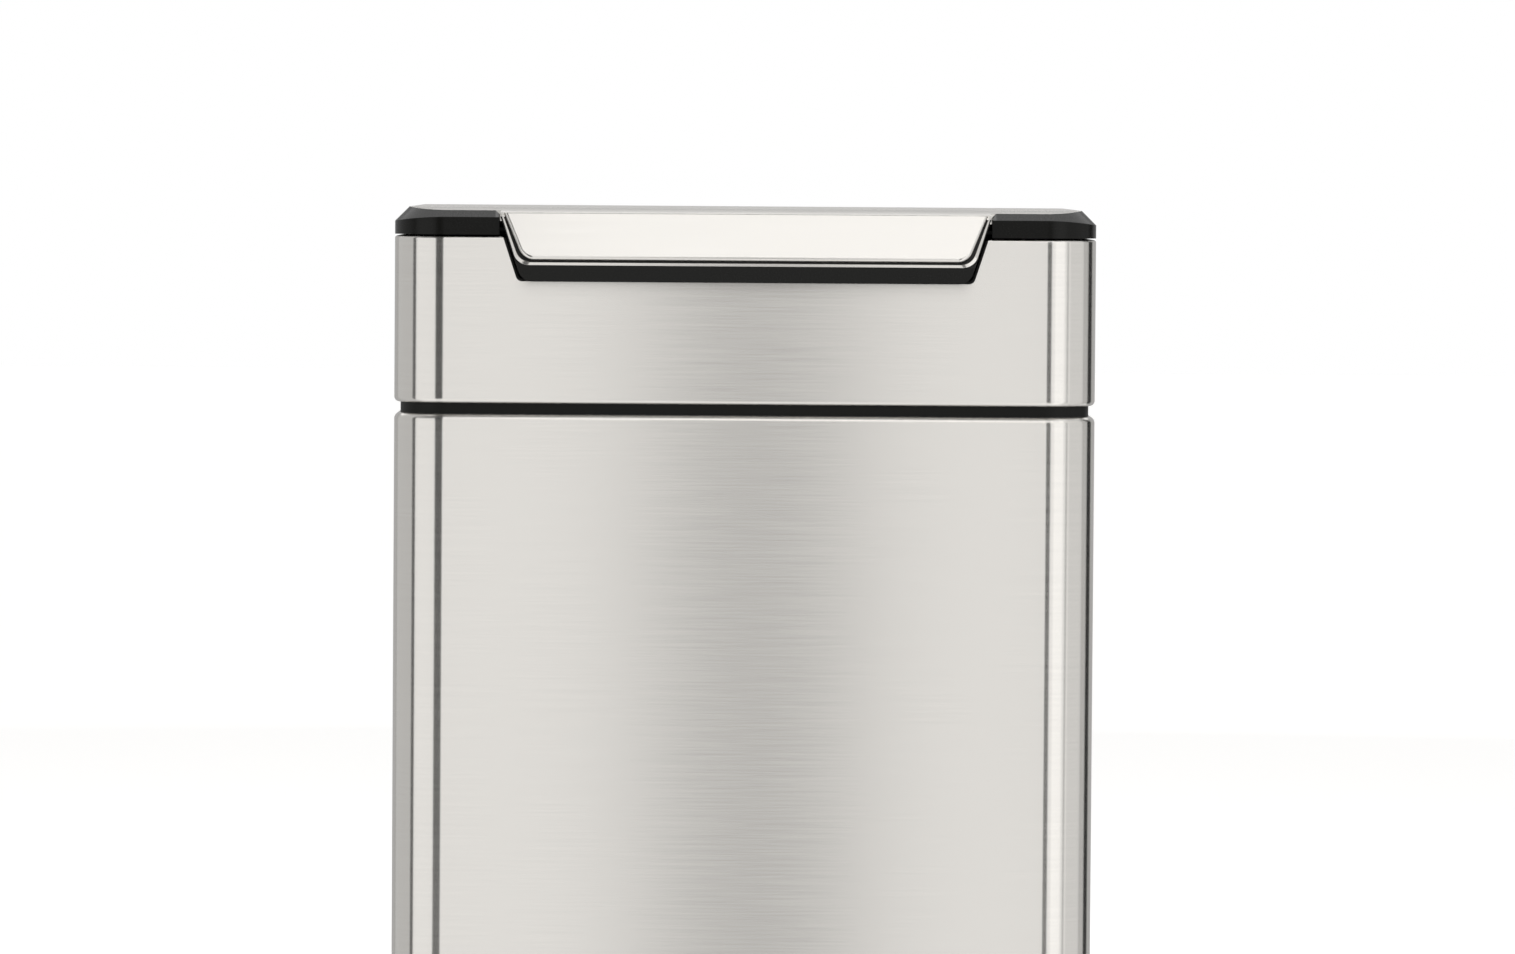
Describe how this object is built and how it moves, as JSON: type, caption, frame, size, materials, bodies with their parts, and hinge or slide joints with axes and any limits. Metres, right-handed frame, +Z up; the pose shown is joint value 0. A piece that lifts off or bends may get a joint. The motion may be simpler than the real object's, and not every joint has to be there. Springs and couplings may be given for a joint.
{
  "type": "push top kitchen bin",
  "caption": "Rectangular brushed-steel kitchen bin with rounded corners, a hinged lid in a black frame, a wide front press bar, a lift-off head and an inner bucket.",
  "frame": {"origin": "on the floor, under the middle of the whole bin, press bar included", "axes": "+Z up, -Y towards the front where the press bar is, +X to the right seen from the front"},
  "size_m": [0.41, 0.3194, 0.63],
  "materials": {
    "brushed_stainless": "brushed across",
    "black_plastic": "fine satin",
    "black_rubber": "matt",
    "acetal": "smooth",
    "plated_steel": "zinc plated",
    "bucket_plastic": "moulded grey"
  },
  "bodies": {
    "body": {"body_shell": "brushed_stainless", "base_pan": "black_plastic", "base_feet": "black_rubber", "base_screws": "plated_steel", "top_collar": "black_plastic"},
    "bucket": {"inner_bucket": "bucket_plastic"},
    "head": {"upper_band": "brushed_stainless", "lower_trim": "black_plastic", "top_frame": "black_plastic", "bar_housing": "black_plastic", "housing_screws": "plated_steel", "bar_springs": "plated_steel", "hinge_brackets": "plated_steel", "bracket_screws": "plated_steel", "hinge_pin": "plated_steel", "lid_springs": "plated_steel", "hinge_cover": "black_plastic", "cover_screws": "plated_steel"},
    "lid": {"lid_panel": "brushed_stainless", "lid_frame": "black_plastic", "lid_liner": "black_plastic", "liner_screws": "plated_steel", "lid_bumpers": "black_rubber", "hinge_rail": "black_plastic", "lid_striker": "acetal"},
    "press_bar": {"bar_cover": "brushed_stainless", "bar_carrier": "black_plastic", "bar_pins": "plated_steel", "latch_hook": "acetal", "hook_screw": "plated_steel"}
  },
  "joints": [
    {"name": "bucket_lift", "type": "slide", "parent": "body", "child": "bucket", "axis": [0, 0, 1], "range_m": [0, 0.52]},
    {"name": "head_lift", "type": "slide", "parent": "bucket", "child": "head", "axis": [0, 0, 1], "range_m": [0, 0.15]},
    {"name": "lid_hinge", "type": "hinge", "parent": "head", "child": "lid", "pos_m": [0, 0.13375, 0.622], "axis": [-1, 0, 0], "range_deg": [0, 80]},
    {"name": "bar_press", "type": "hinge", "parent": "head", "child": "press_bar", "pos_m": [0, -0.12525, 0.606], "axis": [1, 0, 0], "range_deg": [0, 3.5], "stiffness_Nm_per_rad": 1, "springref_deg": -11.46, "deforming": ["bar_springs"]}
  ]
}
